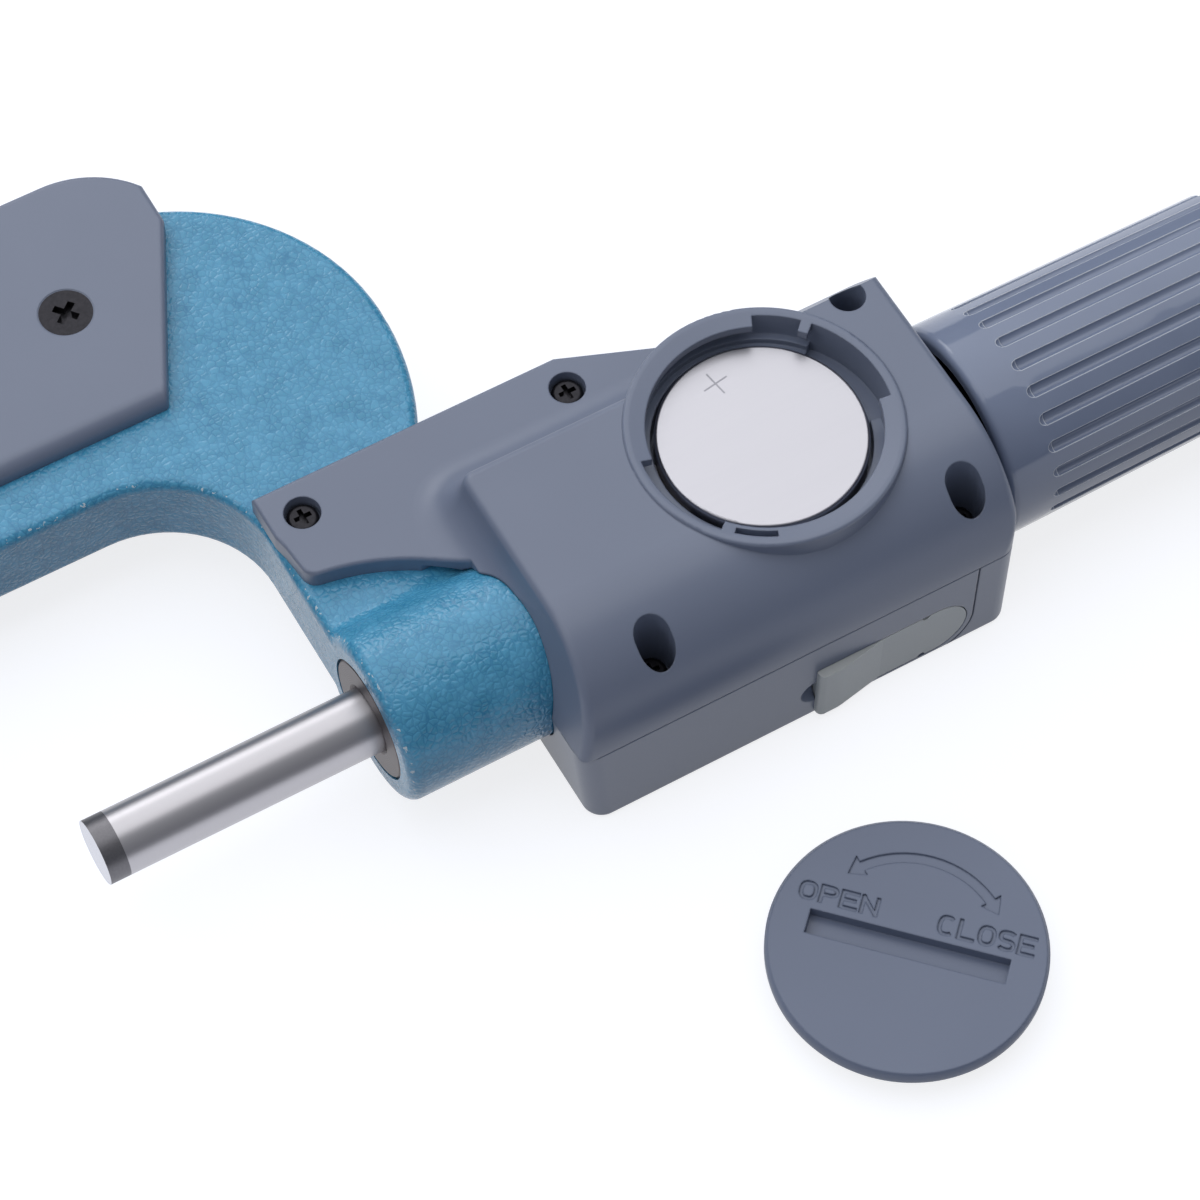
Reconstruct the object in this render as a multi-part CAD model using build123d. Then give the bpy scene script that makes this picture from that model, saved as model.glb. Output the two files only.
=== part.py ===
from build123d import *
from math import atan, cos, degrees, radians, sin, sqrt, tan
import os

# Digital outside micrometer, lying on its display face, with the battery cap taken off beside it.
# Millimetres. The origin is the centre of the anvil's measuring face. X runs from the anvil along the
# spindle, Y towards the back of the frame, and Z out of the rear face, where the battery sits.

# Measuring line
smallest_reading = 25.0  # gap between the measuring faces as it lies
travel = 25.0
anvil_radius = 3.175
spindle_radius = 3.175
carbide_length = 2.0
anvil_reach = 4.3  # anvil outside its arm
spindle_reach = 27.7  # spindle outside its boss at the smallest reading
running_clearance = 0.03  # radial, for a shaft that turns in its bore
guide_clearance = 0.1  # for a piece that travels in a guide
passing_gap = 0.3  # between pieces that pass without touching
frame_gap = 0.15  # between the boss and the covers

# Frame
frame_thickness = 9.0
frame_edge = 1.0
throat_depth = 30.5
throat_corner = 11.5
shoulder_radius = 22.6
shoulder_height = 37.0
shoulder_reach = 21.3  # furthest point of the shoulder, past the boss face
neck_radius = 30.0  # from the shoulder down to the tongue
boss_blend = 1.8  # where the bosses rise from the web
back_radius = 45.0  # the flatter back of the frame
back_turn = 65.0  # degrees round the shoulder where the back begins
arm_width = 13.2
arm_end = 8.0  # anvil arm past the measuring line
arm_end_round = 5.0
anvil_boss_radius = 7.0
anvil_boss_edge = 0.7
spindle_boss_radius = 8.55
spindle_boss_length = 18.8
spindle_boss_edge = 1.2
tongue_length = 35.8
tongue_height = 21.4
pocket_height = 11.0  # clear room for the encoder, up from the measuring line
lug_place = 27.3  # behind the boss face
lug_length = 4.0
lug_radius = 7.2

# Spindle, its bush and its thread
bush_radius = 6.12
bush_chamfer = 0.35
thread_radius = 3.9
thread_place = 75.0  # behind the measuring face
nut_thread_length = 15.0
sleeve_radius = 4.8
sleeve_rear_radius = 6.5
sleeve_wall = 0.7
sleeve_gap = 2.5  # inside the end of the thimble core
sleeve_slit = 0.6
sleeve_slit_length = 12.0
outer_sleeve_radius = 8.5
outer_sleeve_wall = 0.6
adjusting_nut_length = 5.0
adjusting_nut_place = 2.0  # inside the end of the sleeve
nut_notch = 2.0
nut_notch_floor = 0.4
encoder_plate = 1.2
stator_radius = 7.6
rotor_radius = 7.2
rotor_hub_radius = 5.0
key_width = 0.9
key_depth = 0.6
key_length = 2.0

# Spindle lock, on the front of the boss
lock_place = 8.2  # behind the boss face
lock_stud_radius = 1.9
lock_hub_radius = 3.85
lock_arm_length = 11.0
lock_arm_width = 3.6
lock_bottom = -11.0
lock_seat = -7.9

# Housing
housing_offset = 14.3  # behind the boss face
housing_length = 47.0
housing_width = 28.6
housing_top = 11.9
parting_height = 1.0
display_depth = 11.5  # outermost face of the front cover, below the measuring line
wall = 1.5
side_roll = 11.0
crease_inset = 2.0  # from the side of the housing to where the raised body drops to the flange
ramp_drop = 1.6  # straight part under the crease, before the hollow of the ramp
ramp_plan = 1.0  # round corner of the crease in plan
crease_round = 0.9
right_end_round = 0.8
slope_foot = 8.9  # height where the back wall of the raised body begins, beside the ring
boss_spread = 30.0  # how the leaning end wall turns into the ramp above the boss
boss_spread_start = -4.0
seam = 0.5  # between cuts that end under the battery ring
flange_height = 6.6
flange_edge = 22.4
flange_length = 32.0
left_wall_offset = 2.3  # from the left end to the top edge of the raised body
front_draft = 1.3
corner_round = 2.0
ramp_wall = 3.6  # left end, as thick as the ramp needs
cover_edge = 0.8
flange_round = 0.4
toe_round = 1.5
parting_line = 0.2

# Battery compartment
cell_radius = 10.0
cell_height = 3.2
cell_edge = 0.35
cell_floor = 6.4
cell_clearance = 0.35
cell_shift_x = 0.15
cell_shift_y = 0.5
ring_place = 29.15  # middle of the ring, from the left end of the housing
ring_height = 3.2  # middle of the ring, above the measuring line in Y
ring_radius = 13.1
ring_top = 12.2
ring_edge = 0.3
ring_dish = 0.4  # the top of the ring falls inwards
lip_radius = 11.0
lip_thickness = 1.2
lip_notch_radius = 12.1
groove_height = 1.8
shelf_radius = 11.4
well_floor = 1.0
well_wall = 1.3
contact_thickness = 0.25
side_contact_height = 1.3
pocket_bottom = 7.9  # of the deep pocket beside the lip
pocket_floor = 0.6

# Battery cap and its seal
cap_radius = 12.95
cap_disc = 1.3
cap_edge = 0.3
cap_plug_radius = 10.6
cap_plug_height = 2.6
cap_lug_reach = 1.2
cap_x = 85.75
cap_y = -40.8
cap_turn = -45.7  # degrees, the way the coin slot points
coin_slot_length = 18.7
coin_slot_width = 2.5
coin_slot_depth = 1.2
seal_radius = 0.5

# Grip plates
plate_thickness = 2.0
plate_edge = 0.55
plate_low_edge = 1.6  # towards the throat
plate_knee = 1.5  # round the corner above the slant
plate_lip = 2.4
plate_bottom = 36.3
plate_bottom_length = 27.0  # from the middle of the throat
plate_length = 36.0  # from the middle of the throat
plate_slant = 64.0  # degrees
plate_corner = 10.5
plate_end_angle = 34.0  # where the round corner of the plate stops
plate_screw_place = 23.0  # either side of the middle of the throat
plate_screw_height = 49.6

# Screws
plate_screw_head = 2.6
plate_screw_shank = 1.25
plate_screw_sink = 0.05  # head below the face of the plate
plate_screw_length = 4.2
plate_screw_turn = 40.0  # degrees, the way the cross points
small_head = 1.55
small_head_height = 0.9
small_shank = 0.9
small_hole = 1.75
small_hole_run = 0.7  # the holes on the rolled side are longer by this
flange_screw_depth = 1.6
flange_screw_length = 6.0
flange_screw_place = 3.5  # from the boss face
flange_screw_pitch = 28.0
flange_screw_height = 18.8
housing_screw_length = 9.0
housing_screw_left = 9.65  # from the left end
housing_screw_right = 4.4  # from the right end, on the rolled side
housing_screw_back = 3.7  # from the right end, on the side of the frame
screw_post = 3.0
screw_post_tip = 2.3  # where the post passes through the circuit board

# Display side
bezel_height = 0.6  # rim that it lies on, round the recessed display face
window_width = 24.0
window_height = 11.0
window_place = 26.0  # middle, from the left end of the housing
window_middle = -4.0
panel_margin = 0.8  # display panel past the window
window_wall = 1.3  # front cover round the window, and the window in it
board_thickness = 0.8
board_margin = 0.6  # to the walls
board_top = -7.7
button_radius = 2.4
button_rim = 0.6
button_height = 7.5
button_spacing = 10.0
button_below = 0.1  # button below the bezel, so that it isn't pressed on a table

# Data port on the side that faces away from the frame
port_place = 13.5  # middle, from the right end of the housing
port_height = -7.0
port_length = 16.6
port_width = 7.2
port_depth = 1.0
port_grip = 0.9
port_grip_length = 2.2
port_grip_slope = 5.0  # from the grip down to the flush part
port_notch_place = 4.8  # from the round end
port_notch = 0.4
nail_dip = 0.8  # beside the grip
nail_dip_radius = 2.2
port_shelf = 1.2  # round the opening, where the plug rests
port_rim = 0.6  # from the plug to the groove round it
side_groove = 0.2

# Thimble and ratchet
thimble_gap = 1.3
thimble_length = 32.9
thimble_wall = 1.55
thimble_taper = 0.35
thimble_front = 0.8
core_wall = 0.6
core_end = 2.7
flute_count = 24
flute_place = 4.6  # behind the front of the thimble
flute_radius = 0.6
flute_depth = 0.45
flute_phase = 10.5
ratchet_radius = 8.3
ratchet_wall = 0.9
ratchet_length = 14.0
ratchet_plate = 1.4
ratchet_flutes = 18
ratchet_screw_head = 2.8
ratchet_screw_shank = 1.25

# Places that several pieces share
boss_face = smallest_reading + spindle_reach
boss_back = boss_face + spindle_boss_length
throat_middle = (boss_face - anvil_reach) / 2
half_frame = frame_thickness / 2
arm_face = -anvil_reach
arm_outside = arm_face - arm_width
boss_valley = sqrt(spindle_boss_radius**2 - half_frame**2)
arm_valley = sqrt(anvil_boss_radius**2 - half_frame**2)
tongue_end = boss_face + tongue_length
lug_front = boss_face + lug_place
lug_back = lug_front + lug_length
housing_start = boss_face + housing_offset
housing_end = housing_start + housing_length
side_wall = housing_width / 2
crease = side_wall - crease_inset
ring_x = housing_start + ring_place
ring_y = ring_height
cell_x = ring_x + cell_shift_x
cell_y = ring_y + cell_shift_y
well_radius = cell_radius + cell_clearance
well_bottom = cell_floor - contact_thickness
lip_bottom = ring_top - lip_thickness
groove_bottom = lip_bottom - groove_height
plate_face = half_frame + plate_thickness
spindle_bore = spindle_radius + running_clearance
thread_start = smallest_reading + thread_place
outer_sleeve_bore = outer_sleeve_radius - outer_sleeve_wall
adjusting_nut_radius = outer_sleeve_bore - passing_gap
thimble_start = housing_end + thimble_gap
thimble_end = thimble_start + thimble_length
core_bore = outer_sleeve_radius + passing_gap
core_radius = core_bore + core_wall
thimble_radius = core_radius + thimble_wall
thread_end = thimble_end - core_end
sleeve_end = thread_end - sleeve_gap
ratchet_start = thimble_end + ratchet_plate
pilot_radius = 3.0
cover_inside = -display_depth + bezel_height + window_wall
board_bottom = board_top - board_thickness
cover_seat = parting_height + wall
lock_x = boss_face + lock_place
port_x = housing_end - port_place
left_edge = housing_start + left_wall_offset
end_lean = degrees(atan(left_wall_offset / (housing_top - parting_height)))
ramp_radius = (housing_top - ramp_drop - flange_height) / (1 - sin(radians(end_lean)))


def shaft(start, end, radius):
    """A round bar on the measuring line."""
    return Pos((start + end) / 2, 0, 0) * Rot(0, 90, 0) * Cylinder(radius, end - start)


def tube(start, end, outer, inner):
    return shaft(start, end, outer) - shaft(start, end, inner)


def post(x, y, bottom, top, radius):
    """A round bar along Z."""
    return Pos(x, y, (bottom + top) / 2) * Cylinder(radius, top - bottom)


def block(x_range, y_range, z_range):
    """A box between two corners."""
    ranges = (x_range, y_range, z_range)
    size = [high - low for low, high in ranges]
    middle = [(low + high) / 2 for low, high in ranges]
    return Pos(*middle) * Box(*size)


def raised(outline, bottom, top):
    """An outline in plan, raised from one height to another."""
    return Pos(0, 0, bottom) * extrude(make_face(outline), top - bottom)


def turned(points):
    """A profile of (x, radius) points, turned about the measuring line."""
    return revolve(make_face(Polyline(*points, close=True)), Axis.X)


def across(outline, low, high):
    """An outline drawn in X and Z, run from one Y to another."""
    face = Pos(0, high, 0) * (Plane.XZ * make_face(outline))
    return extrude(face, high - low)


def along(outline, low, high):
    """An outline drawn in Y and Z, run from one X to another."""
    face = Pos(low, 0, 0) * (Plane.YZ * make_face(outline))
    return extrude(face, high - low)


def corner_edges(solid, x, y):
    """The upright edges of a solid at one place in plan."""
    upright = solid.edges().filter_by(Axis.Z)
    return [e for e in upright if abs(e.center().X - x) < 0.01 and abs(e.center().Y - y) < 0.01]


def level_edges(solid, height):
    """The edges of a solid that lie level at one height."""
    box_edges = [(e, e.bounding_box()) for e in solid.edges()]
    return [e for e, b in box_edges if abs(b.min.Z - height) < 0.01 and abs(b.max.Z - height) < 0.01]


def in_throat_mirror(point):
    return 2 * throat_middle - point[0], point[1]


def group(pieces):
    """Like pieces that share one file, still separate solids."""
    return Compound(children=list(pieces))


# Frame

def along_arc(centre, radius, angle):
    """A point on a circle, by its angle from X."""
    return centre[0] + radius * cos(radians(angle)), centre[1] + radius * sin(radians(angle))


def on_shoulder(angle):
    """A point on the round shoulder of the frame, by its angle from X."""
    centre = (boss_face + shoulder_reach - shoulder_radius, shoulder_height)
    return along_arc(centre, shoulder_radius, angle)


def on_back(angle):
    """A point on the flatter back, which runs on from the shoulder with the same tangent."""
    centre = along_arc(on_shoulder(back_turn), -back_radius, back_turn)
    return along_arc(centre, back_radius, angle)


def on_neck(height):
    """A point between the shoulder and the tongue, at a height above the measuring line."""
    drop = shoulder_height - height
    return on_shoulder(0)[0] - neck_radius + sqrt(neck_radius**2 - drop**2), height


def frame_outline():
    """The C in plan: the tongue, the shoulder, the back, the anvil arm and the throat."""
    start = on_shoulder(back_turn)
    middle = on_back((back_turn + 90) / 2)
    top = on_back(90)
    arm_side = in_throat_mirror(on_shoulder(-25))
    return [
        Polyline((boss_face, 0), (tongue_end, 0), (tongue_end, tongue_height), on_neck(tongue_height)),
        ThreePointArc(on_neck(tongue_height), on_neck(shoulder_height - tongue_height / 2), on_shoulder(0)),
        ThreePointArc(on_shoulder(0), on_shoulder(back_turn / 2), start),
        ThreePointArc(start, middle, top),
        Line(top, in_throat_mirror(top)),
        ThreePointArc(in_throat_mirror(top), in_throat_mirror(middle), in_throat_mirror(start)),
        ThreePointArc(in_throat_mirror(start), in_throat_mirror(on_shoulder(0)), arm_side),
        Polyline(arm_side, (arm_outside, arm_end), (arm_outside, -arm_end), (arm_face, -arm_end)),
        Polyline((arm_face, -arm_end), (arm_face, throat_depth), (boss_face, throat_depth), (boss_face, 0)),
    ]


def plate_screw_places():
    return [(throat_middle + side * plate_screw_place, plate_screw_height) for side in (-1, 1)]


def flange_screw_places():
    """The two small screws that hold the flange down on the tongue."""
    first = boss_face + flange_screw_place
    return [(x, flange_screw_height) for x in (first, first + flange_screw_pitch)]


def make_frame():
    """One iron casting: the C, the spindle boss, the tongue in the housing and the lug behind it."""
    body = raised(frame_outline(), -half_frame, half_frame)
    for x in (arm_face, boss_face):
        body = fillet(corner_edges(body, x, throat_depth), throat_corner)
    body = fillet(corner_edges(body, arm_outside, -arm_end), arm_end_round)
    rims = level_edges(body, half_frame) + level_edges(body, -half_frame)
    body = fillet([e for e in rims if e.center().Y > 0.5 or e.center().X < boss_face - 1], frame_edge)
    frame_height = (-half_frame - 1, half_frame + 1)
    body -= block((boss_back, lug_front), (-1, pocket_height), frame_height)
    body -= block((lug_back, tongue_end + 1), (-1, pocket_height), frame_height)
    boss = shaft(boss_face, boss_back, spindle_boss_radius)
    body += fillet(boss.edges().group_by(Axis.X)[0], spindle_boss_edge)
    body += shaft(lug_front, lug_back, lug_radius)
    arm_boss = shaft(arm_outside, arm_face, anvil_boss_radius)
    body += fillet(arm_boss.edges().filter_by(GeomType.CIRCLE), anvil_boss_edge)
    for valley, middle in ((boss_valley, boss_face + 9), (arm_valley, arm_face - 6)):
        valley_edges = [e for e in body.edges().filter_by(Axis.X) if at_valley(e, valley, middle)]
        body = fillet(valley_edges, boss_blend)
    body -= shaft(arm_outside - 1, arm_face + 1, anvil_radius)
    body -= shaft(boss_face - 1, boss_back + 1, bush_radius)
    body -= shaft(lug_front - 1, lug_back + 1, sleeve_radius)
    body -= post(lock_x, 0, -spindle_boss_radius - 1, 0, lock_stud_radius + running_clearance)
    body -= post(lock_x, 0, -spindle_boss_radius - 1, lock_seat, lock_hub_radius + passing_gap)
    for x, y in plate_screw_places():
        body -= post(x, y, *frame_height, plate_screw_shank)
    for x, y in flange_screw_places():
        body -= post(x, y, *frame_height, small_shank)
    return body


def at_valley(edge, valley, middle):
    """Whether an edge runs where a boss rises from the web."""
    place = edge.center()
    on_face = abs(abs(place.Z) - half_frame) < 0.1
    return on_face and abs(place.Y - valley) < 0.1 and abs(place.X - middle) < 9


def make_anvil():
    """Hardened pin pressed through the anvil arm."""
    pin = shaft(arm_outside + 0.2, -carbide_length, anvil_radius)
    return chamfer(pin.edges().group_by(Axis.X)[0], 0.3)


def make_bush():
    """Steel bush pressed flush into the boss, bored through from below for the lock stud."""
    bush = tube(boss_face, boss_back, bush_radius, spindle_bore)
    bush = chamfer(bush.edges().group_by(Axis.X)[0], bush_chamfer)
    return bush - post(lock_x, 0, -bush_radius - 1, 0, lock_stud_radius + running_clearance)


# Grip plates on both faces of the frame

def plate_outline():
    """Straight below, slanted at both ends, with round corners at the back of the frame."""
    top = on_back(90)[1] + plate_lip
    low = (throat_middle + plate_bottom_length, plate_bottom)
    end = throat_middle + plate_length
    centre = (end - plate_corner * cos(radians(plate_end_angle)), top - plate_corner)
    angles = (plate_end_angle, (plate_end_angle + 90) / 2, 90)
    corner = [along_arc(centre, plate_corner, angle) for angle in angles]
    right = [low, plate_knees()[0], corner[0]]
    left = [in_throat_mirror(point) for point in right]
    left_corner = [in_throat_mirror(point) for point in corner]
    return [
        Polyline(*right),
        ThreePointArc(*corner),
        Line(corner[2], left_corner[2]),
        ThreePointArc(*left_corner[::-1]),
        Polyline(*left[::-1], low),
    ]


def plate_knees():
    """The corners between the slanted and the upright part of the ends."""
    rise = (plate_length - plate_bottom_length) * tan(radians(plate_slant))
    right = (throat_middle + plate_length, plate_bottom + rise)
    return right, in_throat_mirror(right)


def make_plate():
    """Moulded plate on the rear face, with rolled edges and a lip that wraps the back of the frame."""
    plate = raised(plate_outline(), half_frame, plate_face)
    lip = raised(plate_outline(), guide_clearance, half_frame)
    for knee in plate_knees():
        plate = fillet(corner_edges(plate, *knee), plate_knee)
        lip = fillet(corner_edges(lip, *knee), plate_knee)
    face_edges = level_edges(plate, plate_face)
    plate = fillet(min(face_edges, key=lambda e: e.center().Y), plate_low_edge)
    rest = [e for e in level_edges(plate, plate_face) if e.center().Y > plate_bottom + plate_low_edge + 0.01]
    plate = fillet(rest, plate_edge)
    lip -= raised(frame_outline(), 0, half_frame)
    lip = max(lip.solids(), key=lambda s: s.volume)
    plate += lip
    for x, y in plate_screw_places():
        plate -= screw_cone(x, y)
        plate -= post(x, y, half_frame - 1, plate_face, plate_screw_shank)
        rim = plate_screw_head + guide_clearance
        plate -= post(x, y, plate_face - plate_screw_sink, plate_face + 1, rim)
    return plate


def screw_cone(x, y):
    """The cone under a countersunk head, and of the seat it lies in."""
    depth = plate_screw_head - plate_screw_shank
    cone = Cone(plate_screw_shank, plate_screw_head, depth)
    return Pos(x, y, plate_face - plate_screw_sink - depth / 2) * cone


def cross_recess(x, y, top, radius, depth):
    """The cross in a screw head, two crossed bars cut down from its top."""
    arm = (x - radius, x + radius)
    thin = (-radius * 0.28, radius * 0.28)
    height = (top - depth, top + 1)
    one = block(arm, (y + thin[0], y + thin[1]), height)
    return one + block((x + thin[0], x + thin[1]), (y - radius, y + radius), height)


def plate_screw(x, y):
    """Countersunk screw, its head just below the face of the plate."""
    top = plate_face - plate_screw_sink
    screw = screw_cone(x, y) + post(x, y, top - plate_screw_length, top - 1, plate_screw_shank)
    cross = cross_recess(0, 0, top, plate_screw_head * 0.5, 0.9)
    return screw - Pos(x, y, 0) * Rot(0, 0, plate_screw_turn) * cross


def small_screw(x, y, seat, length):
    """Pan-head screw that stands on its seat."""
    head = post(x, y, seat, seat + small_head_height, small_head)
    head = fillet(head.edges().group_by(Axis.Z)[-1], small_head * 0.3)
    screw = head + post(x, y, seat - length, seat, small_shank)
    return screw - cross_recess(x, y, seat + small_head_height, small_head * 0.55, 0.7)


# Rear housing

def body_end_profile():
    """The rear housing in Y and Z: round on the open side, and flat on top."""
    low = housing_top - side_roll
    flat_start = side_roll - side_wall
    slant = side_roll * sqrt(0.5)
    outer = flange_edge + 1
    return [
        Line((-side_wall, low - 1), (-side_wall, low)),
        ThreePointArc((-side_wall, low), (flat_start - slant, low + slant), (flat_start, housing_top)),
        Polyline((flat_start, housing_top), (outer, housing_top), (outer, low - 1), (-side_wall, low - 1)),
    ]


def ramp_cut():
    """What lies over the ramp: down from the crease, round the hollow, outwards, and on round the corner."""
    lean = radians(end_lean)
    turn = (left_edge - ramp_drop * tan(lean), housing_top - ramp_drop)
    centre = (turn[0] - ramp_radius * cos(lean), turn[1] + ramp_radius * sin(lean))
    hollow = [along_arc(centre, ramp_radius, -angle) for angle in (end_lean, (90 + end_lean) / 2, 90)]
    above = housing_top + 1
    outside = left_edge - flange_length
    section = [
        Polyline((left_edge, above), (left_edge, housing_top), turn),
        ThreePointArc(turn, *hollow[1:]),
        Polyline(hollow[2], (outside, hollow[2][1]), (outside, above), (left_edge, above)),
    ]
    start = (left_edge, -side_wall - 1)
    bend_start = (left_edge, crease - ramp_plan)
    bend_end = (left_edge + ramp_plan, crease)
    bend_middle = along_arc((bend_end[0], bend_start[1]), ramp_plan, 135)
    path = Line(start, bend_start) + ThreePointArc(bend_start, bend_middle, bend_end)
    path += Line(bend_end, (ring_x + seam, crease))
    return sweep(Pos(0, start[1], 0) * (Plane.XZ * make_face(section)), path=path)


def end_cut():
    """What the leaning end wall cuts off on the open side; it curves away where the ramp takes over."""
    outside = housing_start - 2 * left_wall_offset
    curve_end = pocket_height / 2
    curve = []
    for y in (boss_spread_start, (boss_spread_start + curve_end) / 2, curve_end):
        away = boss_spread - sqrt(boss_spread**2 - (y - boss_spread_start) ** 2)
        curve.append((housing_start - away, y))
    low = -side_wall - 1
    foot = [
        Polyline(curve[0], (housing_start, low), (outside, low), (outside, curve_end), curve[2]),
        ThreePointArc(*curve),
    ]
    lean = radians(end_lean)
    rise = (housing_top + 1 - parting_height) / cos(lean)
    return extrude(Pos(0, 0, parting_height) * make_face(foot), rise, dir=(sin(lean), 0, cos(lean)))


def back_cut():
    """What the sloping back of the raised body cuts off, past the ring."""
    slope = (side_wall - crease) / (housing_top - slope_foot)
    outside = side_wall + 1
    low = housing_top - (outside - crease) / slope
    outline = [Polyline((crease, housing_top), (crease, housing_top + 1), (outside, housing_top + 1),
                        (outside, low), (crease, housing_top))]
    return along(outline, ring_x + 4 * seam, housing_end + 1)


def crease_edges(body):
    """The line round the raised top: along the back, round the corner, over the left end and its roll."""
    chosen = []
    for edge in body.edges():
        box = edge.bounding_box()
        on_top = box.min.Z > housing_top - 0.01 and left_edge - 0.01 < box.max.X < ring_x + seam + 0.01
        along_top = on_top and (box.min.Y > crease - 0.01 or box.max.X < left_edge + ramp_plan + 0.01)
        across_ring = box.min.X > ring_x
        on_roll = box.max.Y < side_roll - side_wall + 0.01 and box.max.X < left_edge + 0.01
        climbing = box.max.Z - box.min.Z > 0.01 and edge.geom_type != GeomType.LINE
        if (along_top and not across_ring) or (on_roll and climbing):
            chosen.append(edge)
    return chosen


def right_end_edges(body):
    """The upper edge of the right end, flat and over the roll."""
    boxes = [(edge, edge.bounding_box()) for edge in body.edges()]
    at_end = [(e, b) for e, b in boxes if b.min.X > housing_end - 0.01]
    return [e for e, b in at_end if b.max.Z > housing_top - 0.01 and b.min.Z > parting_height + 1]


def flange_edges(body):
    """The outline of the flange, without the foot of the ramp."""
    boxes = [(edge, edge.bounding_box()) for edge in level_edges(body, flange_height)]
    return [e for e, b in boxes if b.max.Y > flange_edge - 0.1 or b.min.X < boss_face + 9]


def flange_toe():
    """The corner of the flange beside the boss."""
    return boss_face + 0.8, 12.4


def rear_plan():
    """The rear housing in plan: the flange over the tongue, the slanted end and the body."""
    flange_end = boss_face + flange_length
    left = boss_face + 0.1
    arch_top = (housing_start, 6.2)
    toe = flange_toe()
    return [
        Polyline(arch_top, (housing_start, -side_wall), (housing_end, -side_wall)),
        Line((housing_end, -side_wall), (housing_end, side_wall)),
        Polyline((housing_end, side_wall), (ring_x, side_wall), (flange_end + 10.5, flange_edge - 4.2)),
        Polyline((flange_end + 10.5, flange_edge - 4.2), (flange_end, flange_edge), (left, flange_edge)),
        Polyline((left, flange_edge), (left, flange_edge - 4.6), (left + 0.3, flange_edge - 6.1), toe),
        ThreePointArc(toe, (boss_face + 9.2, 9.9), arch_top),
    ]


def housing_screw_places():
    """The three long screws that hold the covers together."""
    rolled = -side_wall + 4.35
    return [
        (housing_start + housing_screw_left, rolled),
        (housing_end - housing_screw_right, rolled),
        (housing_end - housing_screw_back, side_wall - 2.5),
    ]


def sector(radius, start, end, bottom, top):
    """A slice of a round bar about the middle of the battery ring, between two angles."""
    reach = radius * 2
    middle = (start + end) / 2
    points = [(reach * cos(radians(a)), reach * sin(radians(a))) for a in (start, middle, end)]
    wedge = raised([Polyline((0, 0), *points, (0, 0))], bottom, top)
    return Pos(ring_x, ring_y, 0) * (wedge & post(0, 0, bottom, top, radius))


def battery_well():
    """What is cut from the battery ring: the well, the shelf, the bayonet groove, lip and notches."""
    cut = post(cell_x, cell_y, well_bottom, ring_top + 1, well_radius)
    cut += post(ring_x, ring_y, groove_bottom, lip_bottom, lip_notch_radius)
    cut += post(ring_x, ring_y, groove_bottom - 0.6, groove_bottom, shelf_radius)
    cut += post(ring_x, ring_y, lip_bottom, ring_top + 1, lip_radius)
    dish = Cone(lip_radius - ring_dish, ring_radius - 2 * ring_edge, ring_dish)
    cut += Pos(ring_x, ring_y, ring_top - ring_dish / 2) * dish
    for start, end, bottom in ((43, 65, groove_bottom), (-14, 38, pocket_bottom), (170, 220, groove_bottom)):
        cut += sector(lip_notch_radius, start, end, bottom, ring_top + 1)
    slot = sector(lip_notch_radius, -134, -115, groove_bottom, ring_top + 1)
    cut += slot - post(ring_x, ring_y, groove_bottom, ring_top + 1, lip_radius + 0.4)
    return cut


def frame_room():
    """Room where the tongue, the boss and the blend between them enter the covers."""
    height = (-half_frame, half_frame)
    room = block((boss_face - 1, tongue_end), (pocket_height - 1, flange_edge + 1), height)
    entry = (boss_face - 1, housing_start + 4)
    room += block(entry, (0, flange_edge + 1), height)
    blend = half_frame + boss_blend / 2
    room += block(entry, (0, boss_valley + boss_blend), (-blend, blend))
    return room + shaft(*entry, spindle_boss_radius + frame_gap)


def screw_hole_run(x, y):
    """What makes the hole of a long screw longer towards the open side."""
    height = (cover_seat, housing_top + 1)
    run = post(x, y - small_hole_run, *height, small_hole)
    return run + block((x - small_hole, x + small_hole), (y - small_hole_run, y), height)


def make_rear_housing():
    """Moulded rear cover: raised body, flange, battery ring with its bayonet, and screw posts."""
    body = along(body_end_profile(), boss_face - 2, housing_end + 2)
    plan = raised(rear_plan(), parting_height, housing_top + 1)
    for x, y in ((housing_end, -side_wall), (housing_end, side_wall)):
        plan = fillet(corner_edges(plan, x, y), corner_round)
    plan = fillet(corner_edges(plan, *flange_toe()), toe_round)
    body &= plan
    body = body - ramp_cut() - end_cut() - back_cut()
    body = fillet(crease_edges(body), crease_round)
    body = fillet(right_end_edges(body), right_end_round)
    body = fillet(flange_edges(body), flange_round)
    ring = post(ring_x, ring_y, parting_height, ring_top, ring_radius)
    ring = fillet(ring.edges().group_by(Axis.Z)[-1], ring_edge)
    outside = body + ring
    below = parting_height - wall - 1
    length = (housing_start + ramp_wall, housing_end - wall)
    hollow = block(length, (-side_wall + wall, crease - wall), (below, housing_top - wall))
    roll = hollow.edges().filter_by(Axis.X).group_by(Axis.Z)[-1].sort_by(Axis.Y)[0]
    hollow = fillet(roll, side_roll - wall)
    hollow -= post(ring_x, ring_y, pocket_bottom - pocket_floor, ring_top, ring_radius)
    hollow -= post(cell_x, cell_y, well_bottom - well_floor, ring_top, well_radius + well_wall)
    for x, y in housing_screw_places():
        hollow -= post(x, y, below, housing_top, screw_post)
    cover = outside - hollow - battery_well()
    cover -= frame_room()
    cover -= shaft(housing_end - wall - 1, housing_end + 1, outer_sleeve_radius)
    for x, y in flange_screw_places():
        cover -= post(x, y, flange_height - flange_screw_depth, flange_height + 1, small_hole)
        cover -= post(x, y, half_frame - 1, flange_height, small_shank + guide_clearance)
    for x, y in housing_screw_places():
        cover -= post(x, y, cover_seat, housing_top + 1, small_hole)
        if y < 0:
            cover -= screw_hole_run(x, y)
        cover -= post(x, y, parting_height - 1, housing_top, small_shank + guide_clearance)
    return max(cover.solids(), key=lambda s: s.volume)


# Front housing and the display side

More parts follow.
